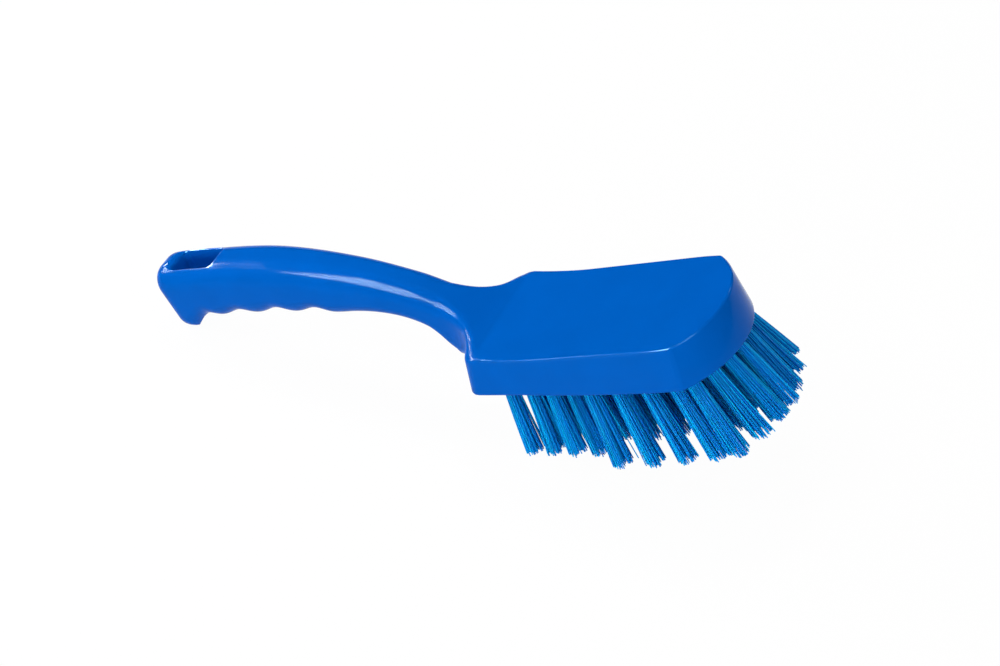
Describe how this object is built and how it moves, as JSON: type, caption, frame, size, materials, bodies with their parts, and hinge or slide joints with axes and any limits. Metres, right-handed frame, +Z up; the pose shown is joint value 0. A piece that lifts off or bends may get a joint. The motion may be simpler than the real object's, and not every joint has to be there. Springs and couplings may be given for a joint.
{
  "type": "hand scrubbing brush",
  "caption": "Short-handled hand scrubbing brush: one-piece moulded head and curved grip with finger grooves and a hang slot, and leaning tufts of stiff filament.",
  "frame": {"origin": "on the floor, under the middle of the brush's bounding box, as it stands by itself on its rear tufts and the lobe under the handle's end", "axes": "+X from the handle's end to the nose, +Y to the left side seen from the handle, +Z up; the head is tipped nose up by 23 degrees about Y"},
  "size_m": [0.3232, 0.084, 0.0925],
  "materials": {
    "moulded_plastic": "injection-moulded polypropylene, blue, satin gloss",
    "filament": "drawn polyester filament, blue, slightly translucent"
  },
  "bodies": {
    "root": {"brush_body": "moulded_plastic", "tuft_edge_left_1": "filament", "tuft_edge_left_2": "filament", "tuft_edge_left_3": "filament", "tuft_edge_left_4": "filament", "tuft_edge_right_1": "filament", "tuft_edge_right_2": "filament", "tuft_edge_right_3": "filament", "tuft_edge_right_4": "filament", "tuft_front_left": "filament", "tuft_front_right": "filament", "tuft_inner_left_1": "filament", "tuft_inner_left_2": "filament", "tuft_inner_left_3": "filament", "tuft_inner_left_4": "filament", "tuft_inner_left_5": "filament", "tuft_inner_left_6": "filament", "tuft_inner_left_7": "filament", "tuft_inner_left_8": "filament", "tuft_inner_right_1": "filament", "tuft_inner_right_2": "filament", "tuft_inner_right_3": "filament", "tuft_inner_right_4": "filament", "tuft_inner_right_5": "filament", "tuft_inner_right_6": "filament", "tuft_inner_right_7": "filament", "tuft_inner_right_8": "filament", "tuft_middle_left_1": "filament", "tuft_middle_left_2": "filament", "tuft_middle_left_3": "filament", "tuft_middle_left_4": "filament", "tuft_middle_left_5": "filament", "tuft_middle_left_6": "filament", "tuft_middle_left_7": "filament", "tuft_middle_left_8": "filament", "tuft_middle_left_9": "filament", "tuft_middle_right_1": "filament", "tuft_middle_right_2": "filament", "tuft_middle_right_3": "filament", "tuft_middle_right_4": "filament", "tuft_middle_right_5": "filament", "tuft_middle_right_6": "filament", "tuft_middle_right_7": "filament", "tuft_middle_right_8": "filament", "tuft_middle_right_9": "filament", "tuft_nose_1": "filament", "tuft_nose_2": "filament", "tuft_nose_3": "filament", "tuft_nose_4": "filament", "tuft_nose_5": "filament", "tuft_nose_6": "filament", "tuft_nose_7": "filament", "tuft_rear_left_1": "filament", "tuft_rear_left_2": "filament", "tuft_rear_left_3": "filament", "tuft_rear_left_4": "filament", "tuft_rear_right_1": "filament", "tuft_rear_right_2": "filament", "tuft_rear_right_3": "filament", "tuft_rear_right_4": "filament"}
  },
  "joints": []
}
